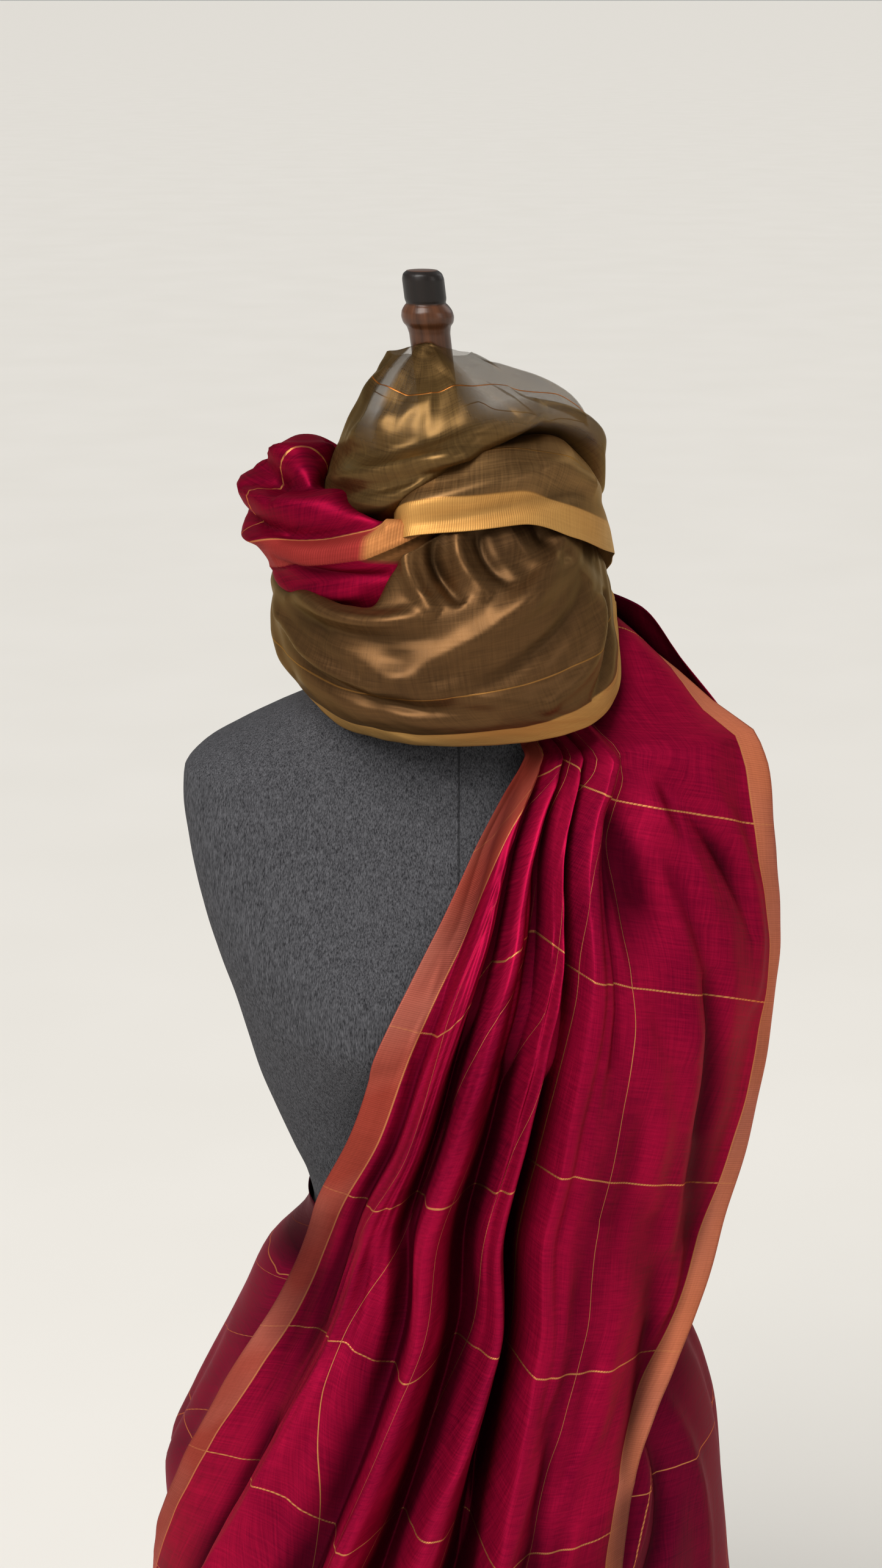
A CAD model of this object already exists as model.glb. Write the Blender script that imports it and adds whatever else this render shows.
"""A chanderi saree wound on a limbless dress form with a turned wooden neck post.

The tables hold millimetres and degrees; meshes are made in metres. +Z is up, +X is the right
and -Y the front. A turn goes round the form's axis: 0 in front, +90 right, -90 left.
The cloth's own coordinates are the run (along the saree) and the across (from border to border).
"""

import math

import bpy
import numpy as np
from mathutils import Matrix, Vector


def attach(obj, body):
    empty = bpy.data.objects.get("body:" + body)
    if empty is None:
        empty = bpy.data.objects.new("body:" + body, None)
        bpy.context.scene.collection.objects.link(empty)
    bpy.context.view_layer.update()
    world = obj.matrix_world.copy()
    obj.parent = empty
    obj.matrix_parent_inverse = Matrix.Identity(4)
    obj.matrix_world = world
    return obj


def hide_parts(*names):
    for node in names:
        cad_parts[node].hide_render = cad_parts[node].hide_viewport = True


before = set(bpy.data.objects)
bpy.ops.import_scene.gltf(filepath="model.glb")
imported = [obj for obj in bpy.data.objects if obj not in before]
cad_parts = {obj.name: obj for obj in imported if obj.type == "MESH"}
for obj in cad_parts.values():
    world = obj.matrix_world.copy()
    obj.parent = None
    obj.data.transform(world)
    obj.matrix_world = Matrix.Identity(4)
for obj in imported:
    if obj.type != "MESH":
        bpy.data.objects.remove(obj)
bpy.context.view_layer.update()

# ---------- driving sizes ----------

MM = 0.001

WAIST_HEIGHT = 1010
CHEST_HEIGHT = 1200
NECK_TOP_HEIGHT = 1500
FORM_BOTTOM_HEIGHT = 800
HEM_HEIGHT = 14
SKIRT_MEAN_RADIUS = 220
SKIRT_TOP_HEIGHT = 1018

SKIRT_WALL = 3
CRIMSON_WALL = 2.6
REST_CLEARANCE = 0.9
FORM_CLEARANCE = 3.5
SEAT_GAP = 0.35
SILK_THICKNESS = 0.5
TISSUE_THICKNESS = 0.4

FORM_SQUARENESS = 2.25
FORM_RIM = 4
BUST_REACH = 18
BUST_HEIGHT = 1185
BUST_APART = 150
BUST_WIDTH = 42
BUST_TALL = 55

POST_LEAN_SIDEWAYS = -0.12
POST_LEAN_FORWARD = -0.115
POST_EASE_STEPS = 3
POST_CAP_FROM = 188.5
POST_GRAIN_SHARE = 0.25

PLEAT_COUNT = 7
PLEAT_FROM = -37
PLEAT_TO = 38
PLEAT_DEPTH_AT_WAIST = 5
PLEAT_DEPTH_AT_HEM = 24
PLEAT_RISE_SHARE = 0.75
PLEAT_START_SHARE = 1 / 12
FLUTE_START_HEIGHT = 880
TUCK_AT_HEM = 4
TUCK_AT_WAIST = 30
TUCK_CHANGE_FROM = 880
TUCK_CHANGE_TO = 980
FOLD_BOLDNESS = 1.4
BORDER_FLARE = 13
FLARE_FROM_LINE = 10.62
FLARE_DRAWN_IN = 0.5
FLARE_BESIDE_LINE = 9.4
FLARE_FROM_STATION = 0.2
FLARE_TO_STATION = 10
FLARE_FADE = 3
FOLD_ROUNDNESS = 0.8
NECK_TUCK = 40
NECK_TUCK_STATIONS = 0.9
CALM_STATIONS = 1.5
PLAIN_BELOW_WAIST = 60
PLAIN_BESIDE_PLEATS = 8
UPPER_BORDER_EASE = 24
LOWER_BORDER_EASE = 30
LOOP_RUN_START = 60

# How many steps the grids take: round and up, or between lines, stations, turns and edges.
STEPS_A_PLEAT = 16
SKIRT_STEPS_ROUND = 180
SKIRT_STEPS_UP = 135
FORM_STEPS = (144, 175)
POST_STEPS = (64, 399)
DRAPE_STEPS = (20, 13)
LOOP_STEPS = (10, 50)
WRAP_STEPS = (22, 18)
COWL_STEPS = (18, 24)
UPPER_STEPS = (22, 26)
CROWN_STEPS = (17, 26)

# The cloth as woven: its width, its two borders, and the squares of its gold lines.
CLOTH_WIDTH = 1150
BORDER_WIDTH = 22
WARP_SQUARE = 158
WEFT_SQUARE = 150


def table(text):
    """A table of numbers as a dict from each name in its first line to an array, one number a row."""
    names, *rows = text.strip().splitlines()
    return dict(zip(names.split(), np.array([row.split() for row in rows], float).T))


def edge_table(text):
    """A table of turns, then of the height and the radius of each named edge there."""
    names, *rows = text.strip().splitlines()
    turn, *measures = np.array([row.split() for row in rows], float).T
    return dict(zip(names.split(), [turn, *np.reshape(measures, (-1, 2, len(turn)))]))


# ---------- tables: one row for each ring, station or fold ----------

FORM_RINGS = table("""
height side front back
800 168 115 125
850 172 118 128
895 166 113 123
930 153 105 114
958 138 97 104
982 122 90 94
1010 110 84 86
1036 115 86 85
1065 127 92 88
1095 139 99 93
1125 150 108 97
1155 158 118 101
1185 166 126 104
1215 176 126 107
1245 185 120 110
1275 192 110 111
1305 197 100 111
1335 200 89 109
1354 199 82 105
1368 188 76 101
1381 166 70 96
1396 136 63 84
1411 102 58 72
1430 72 54 61
1458 62 52 56
1500 60 52 52
""")

SKIRT_RINGS = table("""
height left right front back
14 260 256 208 224
200 248 245 197 211
400 236 233 184 196
600 229 224 171 182
724 230 217 163 173
776 233 212 158 167
827 214 206 149 159
866 195 196 140 149
915 171 173 124 135
957 152 150 109 117
984 128 126 98 101
1004 113.5 113.5 90 91
1018 114.6 114.6 88.2 90.2
""")

# Soft flutes of the first turn, away from the front pleats.
SKIRT_FLUTES = table("""
turn spread depth
58 8 13
80 7 17
101 9 12
124 8 9
150 10 5
178 9 6
206 10 5
234 9 6
259 8 7
283 8 9
305 7 8
""")

DRAPE_RINGS = table("""
height left right front back
14 279 268 246 247
200 270 259 236 234
400 260 249 224 219
600 253 240 214 205
726 251 232 204 197
802 241 222 194 186
860 227 214 184 174
917 205 212 172 157
974 170 214 160 131
1010 156 216 154 116
1046 150 220 152 112
1092 150 227 150 112
1157 150 234 150 116
1225 150 238 142 122
1293 150 233 118 125
1358 150 226 92 120
1386 140 213 84 115
1399 130 194 70 110
1429 110 172 52 105
1470 100 140 50 98
1482 95 114 58 92
1500 92 100 58 90
""")

# Stations along the second turn, from the neck down the front and round the left to the back.
DRAPE_STATIONS = table("""
station upper_turn upper_height lower_turn lower_height
0 40 1408 112 1506
1 31 1381 89 1368
2 7 1323 85 1293
3 -9 1265 83 1225
4 -21 1199 80 1157
5 -31 1125 75 1092
6 -45 1046 66 1033
7 -51 974 57 974
8 -58 895 46 917
9 -67 802 37 860
10 -75 726 32 806
11 -95 610 17 470
12 -120 640 -3 190
13 -145 740 -35 24
14 -170 850 -85 18
15 -195 950 -138 18
16 -217 1002 -188 18
17 -235 1006 -228 18
""")

# Twelve fold lines run along the drape: the upper border, then valleys and ridges in turn,
# the panel's ridge, middle and side, and the lower border. The rows below are those lines.
FOLD_LINES = np.arange(12)
FOLD_SECTIONS = np.array([1, 3, 5, 7, 10, 13])  # shoulder, bust, waist, hip, thigh, wrap
FOLD_SHARES = table("""
shoulder bust waist hip thigh wrap
-0.05 0 0 -0.04 -0.06 0
-0.01 0.1 0.12 0.12 0.12 0.1
0.03 0.16 0.18 0.2 0.19 0.19
0.08 0.2 0.22 0.33 0.38 0.3
0.14 0.25 0.28 0.38 0.44 0.39
0.18 0.34 0.37 0.47 0.51 0.48
0.21 0.37 0.42 0.55 0.59 0.57
0.245 0.405 0.48 0.6 0.69 0.66
0.28 0.44 0.52 0.65 0.76 0.74
0.42 0.57 0.65 0.76 0.83 0.82
0.68 0.8 0.85 0.93 0.95 0.91
0.94 1.04 1.08 1.09 1.07 1
""")
FOLD_LIFTS = table("""
shoulder bust waist hip thigh wrap
-2 -3 -4 -5 -5 -2
-3 -8 -8 -8 -8 -5
2 8 10 12 14 8
-4 -11 -12 -5 -2 -5
3 10 12 15 19 9
-4 -10 -14 -17 -14 -5
8 16 15 17 19 9
-17 -26 -30 -33 -28 -5
17 19 13 12 12 8
0 4 6 4 2 -3
5 2 -2 1 3 7
-3 -3 -5 -5 -5 -2
""")

# How far across the cloth each fold line lies; what a fold hides makes its steps long.
FOLD_ACROSS = table("""
shoulder bust waist hip thigh wrap
0 0 0 0 0 0
34 140 60 60 60 70
110 230 200 330 220 200
175 280 300 400 340 350
230 310 440 480 590 480
300 370 560 620 710 610
400 560 690 710 780 740
560 740 780 790 850 850
720 850 850 855 890 920
970 970 970 970 970 970
1060 1070 1080 1090 1100 1090
1150 1150 1150 1150 1150 1150
""")

# The station at which each of the first five gold weft lines crosses each fold line.
WEFT_STATIONS = table("""
first second third fourth fifth
2 3.86 5.69 7.35 8.6
1.8 3.9 5.69 7.15 8.5
1.3 3.6 5.6 7.05 8.5
1.2 3.2 5.5 7.3 8.9
0.95 2.85 5.45 7.3 9
0.9 2.7 5.4 7.1 8.9
1 2.75 5.2 7 8.9
1.15 2.9 5.1 7.15 9.2
1.22 3.01 5.06 7.35 9.6
1.31 3.13 5.2 7.45 9.7
1.43 3.33 5.44 7.55 9.8
1.67 3.72 5.83 7.75 9.94
""")

# The wound stretches, each from its first edge across to its last.
LOOP_STATIONS = edge_table("""
turn low mid top
85.5 1222 232 1300 229 1369 213
89 1210 234 1304 230 1396 191
94.7 1196 236 1316 225 1430 163.1
101.4 1184 236 1340 212 1466 135.5
106 1178 234 1352 200 1478 108
114 1175 224 1362 178 1472 102
127 1190 196 1372 150 1461 100
141 1222 164 1380 130 1450 99
155 1280 140 1390 116 1441 97
170 1342 124 1402 105 1434 96
""")

EDGE_STEP = 2.2
EDGE_STEP_WIDTH = 1.5
EDGE_LEAN = 1.12
EDGE_LINE = table("""
turn height
240 1505
288 1512
332 1533
348 1550
""")
WRAP_MEAN_RADIUS = 110
TURN_SLANT = 1.6
TURN_SLANT_STARTS_INSIDE = 4
TURN_SLANT_REACH = 14
WRAP_STATIONS = edge_table("""
turn tuck low mid top lip
116 1415 95 1432 92 1466 93 1510 86 1504 66
150 1420 88 1438 89 1478 91 1530 84 1524 64
190 1430 82 1446 86 1490 92 1552 84 1544 62
225 1436 80 1456 89 1502 98 1566 86 1554 62
250 1456 88 1490 103 1528 120 1582 96 1564 66
270 1486 108 1516 130 1549 151 1594 112 1574 72
288 1484 114 1511 134 1540 146 1584 112 1560 74
313 1484 116 1509 131 1530 138 1562 116 1544 78
336 1488 116 1511 128 1527 131 1557 119 1546 88
350 1506 108 1518 118 1530 120 1553 112 1546 90
360 1504 95 1514 101 1526 103 1548 100 1544 88
""")

COWL_STATIONS = edge_table("""
turn low belly roll top lip
-159.1 1443 106 1466 109 1492 111 1502 111 1508 109
-135 1436 106 1462 115 1494 118 1501 116 1497 112
-112 1426 104 1460 119 1494 127 1500 123 1494 119
-90 1412.4 103.4 1455 124 1496 132 1502 128 1495 124
-60 1407 106 1444 132 1494 136 1501 132 1490 126
-30 1404 111 1438 145 1494 146 1502 139 1490 131
-17 1404 116 1437 148 1496 149 1509 141 1534 131
-3 1406 122 1438 151 1502 146 1520 134 1554 118
15 1408 127 1440 150 1507 142 1532 124 1562 109
39 1412 131 1442 140 1510 129 1532 117 1558 103
62 1424 124 1450 124 1496 114 1518 104 1540 96
73 1446 119 1466 115 1494 110 1510 104 1528 96
82 1476 112 1484 110 1494 108 1506 104 1518 98
""")

UPPER_STATIONS = edge_table("""
turn low mid top lip
-25 1539 107 1551 105 1564 100 1567 92
-15 1550 126 1568 119 1583 107 1584 86
0 1554 126 1577 117 1597 97 1595 68
19 1556 121 1583 112 1604 89 1600 56
42 1541 115 1577 107 1606 83 1602 50
65 1524 111 1563 105 1594 81 1592 50
90 1510 110 1541 103 1573 84 1573 52
105 1496 113 1530 105 1566 84 1566 54
122 1470 110 1516 107 1562 88 1563 70
150 1448 103 1504 106 1556 92 1558 86
178 1443 104 1494 109 1541 99 1544 95
200.3 1444 106 1478 110 1502 111 1508 109
""")

CROWN_MEAN_RADIUS = 85
CROWN_MIDDLE_ACROSS = 175
CROWN_TUCK_IN = 24
CROWN_TUCK_DROP = 17
CROWN_STATIONS = edge_table("""
turn low mid top
-180 1545 104 1602 88 1650 21
-150 1558 102 1610 84 1651 24
-125 1576 92 1624 70 1651 30
-95 1570 91 1638 50 1656 30
-70 1563 98 1642 53 1658 25
-50 1561 106 1640 62 1661 18
-28 1567 114 1635 64 1663 15.4
-10 1590 114 1632 60 1664 15.4
8 1613 99 1640 58 1663 16
28 1620 93 1640 61 1661 18
48 1616 90 1636 66 1659 21
68 1606 94 1630 77 1657 24
82 1584 102 1618 88 1656 26
96 1556 103 1604 95 1655 27
125 1545 105 1600 93 1651 25
180 1545 104 1602 88 1650 21
""")

POST_PROFILE = table("""
radius height
24 0
24 5
16 9
14 16
13.6 100
14 168
15 173
17.2 175.5
18 179.5
17.2 183.5
15 187
13.2 188.5
14.2 191
14.2 205
13.2 208.5
10.5 210.5
""")

# ---------- reading tables ----------


def mix(start, end, share):
    """From start to end by a share from 0 to 1."""
    return start + (end - start) * share


def smooth(share):
    """An S-shaped share: three squares less two cubes of the share, held between 0 and 1."""
    held = np.clip(share, 0, 1)
    return held**2 * (3 - 2 * held)


def smooth_read(places, values, at):
    """Values read between their places by a cubic that never overshoots.

    The slope at each place is the harmonic mean of the slopes beside it, or 0 at a turn.
    With a 2-D array of values, each row belongs to a place and at is 1-D."""
    gaps = np.diff(places).reshape(-1, *[1] * (values.ndim - 1))
    slope = np.diff(values, axis=0) / gaps
    before, after = slope[:-1], slope[1:]
    same_way = before * after > 0
    total = np.where(same_way, before + after, 1)
    inner = np.where(same_way, 2 * before * after / total, 0)
    bend = np.concatenate([slope[:1], inner, slope[-1:]])
    held = np.clip(at, places[0], places[-1])
    low = np.clip(np.searchsorted(places, held, side="right") - 1, 0, len(places) - 2)
    span = places[low + 1] - places[low]
    share = (held - places[low]) / span
    if values.ndim > 1:
        share, span = share[:, None], span[:, None]
    rest = 1 - share
    ends = (1 + 2 * share) * rest**2 * values[low] + share**2 * (3 - 2 * share) * values[low + 1]
    return ends + share * rest * span * (rest * bend[low] - share * bend[low + 1])


def columns_of(rows):
    """A fold table as an array with a row for each fold line and a column for each section."""
    return np.stack(list(rows.values()), axis=1)


def steps_between(stops, steps):
    """Even steps from each stop to the next."""
    number = np.arange((len(stops) - 1) * steps + 1) / steps
    return np.interp(number, np.arange(len(stops)), stops)


def arc_length(points, axis):
    """The distance run along one axis of a grid of points, from its first row or column."""
    step = np.linalg.norm(np.diff(points, axis=axis), axis=-1)
    first = np.zeros_like(np.take(step, [0], axis=axis))
    return np.concatenate([first, np.cumsum(step, axis=axis)], axis=axis)


# ---------- the form and the radii of the cloth ----------


def round_point(turn, height, radius, centre_x=0, centre_y=0):
    """x = radius times the turn's sine, y = less its cosine, from a centre, at a height."""
    angle = np.radians(turn)
    x = centre_x + radius * np.sin(angle)
    y = centre_y - radius * np.cos(angle)
    return np.stack(np.broadcast_arrays(x, y, height), axis=-1).astype(float)


def ring_table_radius(rings, turn, height, both_sides=None, squareness=2):
    """A ring's radius from its own left, right, front and back reach at each height: where
    |sine / side| and |cosine / depth|, each to a power, add to one."""
    right, left, front, back = (
        smooth_read(rings["height"], rings[name], height)
        for name in (both_sides or "right", both_sides or "left", "front", "back")
    )
    sine, cosine = np.sin(np.radians(turn)), np.cos(np.radians(turn))
    across = np.abs(sine) / np.where(sine > 0, right, left)
    forward = np.abs(cosine) / np.where(cosine > 0, front, back)
    return (across**squareness + forward**squareness) ** (-1 / squareness)


def form_radius(turn, height):
    """The form's rounded rings, with two bell-shaped swells at the chest that fade to the sides."""
    radius = ring_table_radius(FORM_RINGS, turn, height, "side", FORM_SQUARENESS)
    forward = np.cos(np.radians(turn))
    sideways = (np.abs(radius * np.sin(np.radians(turn))) - BUST_APART / 2) / BUST_WIDTH
    upwards = (height - BUST_HEIGHT) / BUST_TALL
    swell = BUST_REACH * np.exp(-(sideways**2) - upwards**2) * forward**2
    return radius + np.where(forward > 0, swell, 0)


def pleat_shape(phase):
    """A knife pleat: a slow sine-squared rise to its fold, then a quick cosine-squared fall."""
    rise = np.sin(np.pi / 2 * phase / PLEAT_RISE_SHARE) ** 2
    fall = np.cos(np.pi / 2 * (phase - PLEAT_RISE_SHARE) / (1 - PLEAT_RISE_SHARE)) ** 2
    return np.where(phase < PLEAT_RISE_SHARE, rise, fall)


def skirt_radius(turn, height):
    """The first turn: its rings, less the front pleats, plus bell-shaped flutes, clear of the form."""
    wrapped = np.mod(turn, 360)
    front_turn = np.where(wrapped > 180, wrapped - 360, wrapped)
    hang = np.clip((WAIST_HEIGHT - height) / (WAIST_HEIGHT - HEM_HEIGHT), 0, 1)
    phase = np.mod((front_turn - PLEAT_FROM) / (PLEAT_TO - PLEAT_FROM) * PLEAT_COUNT, 1)
    depth = mix(PLEAT_DEPTH_AT_WAIST, PLEAT_DEPTH_AT_HEM, hang) * smooth(hang / PLEAT_START_SHARE)
    pleated = (front_turn > PLEAT_FROM) & (front_turn < PLEAT_TO)
    radius = ring_table_radius(SKIRT_RINGS, turn, height)
    radius = radius - np.where(pleated, depth * (1 - pleat_shape(phase)), 0)
    opening = smooth((FLUTE_START_HEIGHT - height) / (FLUTE_START_HEIGHT - HEM_HEIGHT))
    for flute, spread, flute_depth in zip(*SKIRT_FLUTES.values()):
        radius = radius + flute_depth * opening * np.exp(-(((wrapped - flute) / spread) ** 2))
    clear = form_radius(turn, height) + SKIRT_WALL + REST_CLEARANCE
    return np.where(height < FORM_BOTTOM_HEIGHT, radius, np.maximum(radius, clear))


def covered_radius(turn, height):
    """The outermost thing under the second turn: the form, or the first turn of cloth."""
    form = np.where(height < FORM_BOTTOM_HEIGHT, 0, form_radius(turn, height) + FORM_CLEARANCE)
    below_top = height <= SKIRT_TOP_HEIGHT
    return np.maximum(form, np.where(below_top, skirt_radius(turn, height) + REST_CLEARANCE, 0))


# ---------- creases ----------

CREASE_NAMES = "turn_a height_a turn_b height_b turn_c height_c width depth"
CREASE_STEPS = 12
WRINKLE_COUNT = 16
WRINKLE_TURN = 0.6
WRINKLE_LENGTHS = (0.35, 1.3)
WRINKLE_PATCH = 4
FOLD_WANDER = 0.06
FOLD_WANDER_RATE = 5
HOLLOW_REACH = 15
HOLLOW_DEPTH = 8


def crease_relief(creases, turn, height, radius):
    """Soft ridges and troughs laid on a surface, in millimetres along its normal.

    Each follows a quadratic curve from a, by way of b, to c on the unrolled surface, as short
    straight steps. Its section is a bell of its width over the distance to the nearest step,
    and its depth dies away to both ends as the root of a sine."""
    relief = np.zeros(np.broadcast(turn, height).shape)
    share = np.linspace(0, 1, CREASE_STEPS + 1)
    weights = np.stack([(1 - share) ** 2, 2 * share * (1 - share), share**2])
    for row in zip(*creases.values()):
        path_turn = np.array(row[0:6:2]) @ weights
        path_height = np.array(row[1:6:2]) @ weights
        width, depth = row[6:]
        nearest = np.full(relief.shape, np.inf)
        reached = np.zeros(relief.shape)
        for step in range(CREASE_STEPS):
            sideways = np.radians(turn - path_turn[step]) * radius
            upwards = height - path_height[step]
            along_side = np.radians(path_turn[step + 1] - path_turn[step]) * radius
            along_up = path_height[step + 1] - path_height[step]
            passed = (sideways * along_side + upwards * along_up) / (along_side**2 + along_up**2)
            passed = np.clip(passed, 0, 1)
            away = (sideways - passed * along_side) ** 2 + (upwards - passed * along_up) ** 2
            closer = away < nearest
            nearest = np.where(closer, away, nearest)
            reached = np.where(closer, (step + passed) / CREASE_STEPS, reached)
        fade = np.sqrt(np.clip(np.sin(np.pi * reached), 0, 1))
        relief += depth * fade * np.exp(-nearest / width**2)
    return relief


def wrinkle_relief(run, across, seed, height, length=90):
    """Faint unevenness of hung cloth: crossed long waves, each strong in its own patches."""
    chance = np.random.default_rng(seed)
    relief = 0
    for _ in range(WRINKLE_COUNT):
        angle = chance.normal(0, WRINKLE_TURN)
        wave = length * chance.uniform(*WRINKLE_LENGTHS)
        phase, patch_phase = chance.uniform(0, 2 * np.pi, 2)
        along = run * np.cos(angle) + across * np.sin(angle)
        beside = across * np.cos(angle) - run * np.sin(angle)
        patch = 0.5 + 0.5 * np.sin(along * 2 * np.pi / (wave * WRINKLE_PATCH) + patch_phase)
        relief = relief + patch * np.sin(beside * 2 * np.pi / wave + phase) * wave / length
    return relief * height / math.sqrt(WRINKLE_COUNT)


def long_fold_relief(line, station):
    """The fine folds along the drape: each a bell across the lines about a centre that runs
    evenly from its first line and station to its last, dying away as the root of a sine."""
    relief = 0
    for line_a, station_a, line_b, station_b, width, depth in zip(*LONG_FOLDS.values()):
        share = np.clip((station - station_a) / (station_b - station_a), 0, 1)[:, None]
        wander = FOLD_WANDER * np.sin(FOLD_WANDER_RATE * share + line_a)
        centre = mix(line_a, line_b, share) + wander
        fade = np.sqrt(np.clip(np.sin(np.pi * share), 0, 1))
        relief = relief + depth * fade * np.exp(-(((line - centre) / width) ** 2))
    return relief


def running_mean(values, reach, axis):
    """The mean over a reach of grid steps to either side, along one axis, edges repeated."""
    window = 2 * reach + 1
    ends = [(reach + 1, reach) if side == axis else (0, 0) for side in (0, 1)]
    total = np.cumsum(np.pad(values, ends, mode="edge"), axis=axis)
    first = np.arange(values.shape[axis])
    return (np.take(total, first + window, axis) - np.take(total, first, axis)) / window


def hollow_share(points):
    """How deep each point lies in a fold, from 0 to 1: how much nearer the axis it is than the
    mean of the points around it, as a share of the depth that looks darkest."""
    from_axis = np.hypot(points[..., 0], points[..., 1])
    mean = running_mean(running_mean(from_axis, HOLLOW_REACH, 0), HOLLOW_REACH, 1)
    return np.clip((mean - from_axis) / HOLLOW_DEPTH, 0, 1)


def surface_normals(points, closed_round=False):
    """The unit normal at each grid point, from the points on either side of it, facing outwards."""
    padded = np.pad(points, ((1, 1), (1, 1), (0, 0)), mode="edge")
    if closed_round:
        padded[1:-1, 0] = points[:, -2]
        padded[1:-1, -1] = points[:, 1]
    along = padded[2:, 1:-1] - padded[:-2, 1:-1]
    beside = padded[1:-1, 2:] - padded[1:-1, :-2]
    normal = np.cross(beside, along)
    normal /= np.linalg.norm(normal, axis=-1, keepdims=True) + 1e-9
    outwards = np.sum(normal[..., :2] * points[..., :2])
    return normal if outwards > 0 else -normal


# ---------- the stretches of cloth ----------


def skirt_sheet():
    """The first turn: a ring of cloth from the hem to the waist, with its pleats in front."""
    front = np.linspace(PLEAT_FROM, PLEAT_TO, PLEAT_COUNT * STEPS_A_PLEAT, endpoint=False)
    rest = np.linspace(PLEAT_TO, 360 + PLEAT_FROM, SKIRT_STEPS_ROUND + 1)
    turn = np.concatenate([front, rest])[None, :]
    height = np.linspace(HEM_HEIGHT, SKIRT_TOP_HEIGHT, SKIRT_STEPS_UP + 1)[:, None]
    radius = skirt_radius(turn, height)
    relief = crease_relief(SKIRT_CREASES, turn, height, radius)
    flat_run = np.radians(turn) * SKIRT_MEAN_RADIUS + 0 * height
    relief = relief + wrinkle_relief(height + 0 * turn, flat_run, seed=2, height=1.2, length=110)
    hung = smooth((WAIST_HEIGHT - height) / PLAIN_BELOW_WAIST)
    hung = hung * smooth((turn - PLEAT_FROM) / PLAIN_BESIDE_PLEATS)
    hung = hung * smooth((360 + PLEAT_FROM - turn) / PLAIN_BESIDE_PLEATS)
    clear = np.where(height < FORM_BOTTOM_HEIGHT, 0, form_radius(turn, height) + REST_CLEARANCE)
    points = round_point(turn, height, np.maximum(radius + relief * hung, clear))
    return points, arc_length(points, axis=1), CLOTH_WIDTH - arc_length(points, axis=0)


def beside_lines(rows, line, station):
    """A fold table at fine stations: its values on the fold lines before and after each fine
    line, and how far from the one to the other that line lies, from 0 to 1."""
    at_stations = smooth_read(FOLD_SECTIONS, columns_of(rows).T, station)
    before = np.minimum(np.floor(line).astype(int), at_stations.shape[1] - 2)
    return at_stations[:, before], at_stations[:, before + 1], line - before


def drape_sheet():
    """The second turn and the swath up to the shoulder.

    Turn and height run evenly from the upper to the lower border by each line's share. The
    radius is the hanging ring plus the fold's lift, which runs as half a cosine from line to
    line, drawn in at the valleys, and it never goes inside what it covers."""
    stations = DRAPE_STATIONS["station"]
    line, station = map(steps_between, (FOLD_LINES, stations), DRAPE_STEPS)
    share = mix(*beside_lines(FOLD_SHARES, line, station))
    low_lift, high_lift, part = beside_lines(FOLD_LIFTS, line, station)
    swing = (1 - np.cos(np.pi * part)) / 2
    falling = 1 - (1 - swing) ** FOLD_ROUNDNESS
    swing = np.where(high_lift > low_lift, swing**FOLD_ROUNDNESS, falling)
    lift = FOLD_BOLDNESS * mix(low_lift, high_lift, swing)
    strip = smooth((line - FLARE_FROM_LINE) / (FOLD_LINES[-1] - FLARE_FROM_LINE)) - FLARE_DRAWN_IN
    beside = smooth(line - FLARE_BESIDE_LINE) * smooth(station - FLARE_FROM_STATION)[:, None]
    beside = beside * smooth((FLARE_TO_STATION - station) / FLARE_FADE)[:, None]
    lift = lift + BORDER_FLARE * strip * beside

    edge = {
        name: smooth_read(stations, DRAPE_STATIONS[name], station)[:, None]
        for name in ("upper_turn", "upper_height", "lower_turn", "lower_height")
    }
    turn = mix(edge["upper_turn"], edge["lower_turn"], share)
    height = np.maximum(HEM_HEIGHT, mix(edge["upper_height"], edge["lower_height"], share))
    end_share = smooth(station - (stations[-1] - 1))[:, None]
    tuck_share = smooth((height - TUCK_CHANGE_FROM) / (TUCK_CHANGE_TO - TUCK_CHANGE_FROM))
    tuck = end_share * mix(TUCK_AT_HEM, TUCK_AT_WAIST, tuck_share)
    behind = (np.cos(np.radians(turn)) < 0) & (height < CHEST_HEIGHT)
    hanging = np.where(
        behind,
        ring_table_radius(DRAPE_RINGS, turn, height, "left"),
        ring_table_radius(DRAPE_RINGS, turn, height),
    )
    neck_tuck = NECK_TUCK * (1 - smooth(station / NECK_TUCK_STATIONS))[:, None]
    base = hanging + lift * (1 - end_share) - tuck - neck_tuck
    plain = round_point(turn, height, base)
    run = drape_run(plain, line, station)
    across = drape_across(plain, line, station)
    relief = crease_relief(DRAPE_CREASES, turn, height, hanging)
    relief = relief + wrinkle_relief(run, across, seed=3, height=1.5, length=75)
    relief = relief + long_fold_relief(line, station)
    calm = smooth(station / CALM_STATIONS)[:, None] * (1 - end_share)
    radius = np.maximum(base + relief * calm, covered_radius(turn, height) + CRIMSON_WALL)
    return round_point(turn, height, radius), run, across


def drape_run(points, line, station):
    """How far along the saree each point lies: its arc length from the shoulder, set right by a
    slow correction so that the gold weft lines cross the fold lines where their table says."""
    run = arc_length(points, axis=0)
    wefts = smooth_read(FOLD_LINES, columns_of(WEFT_STATIONS), line)
    goal = WEFT_SQUARE * np.arange(1, wefts.shape[1] + 1)
    for column in range(len(line)):
        reached = np.interp(wefts[column], station, run[:, column])
        run[:, column] += np.interp(station, wefts[column], goal - reached)
    return run


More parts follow.
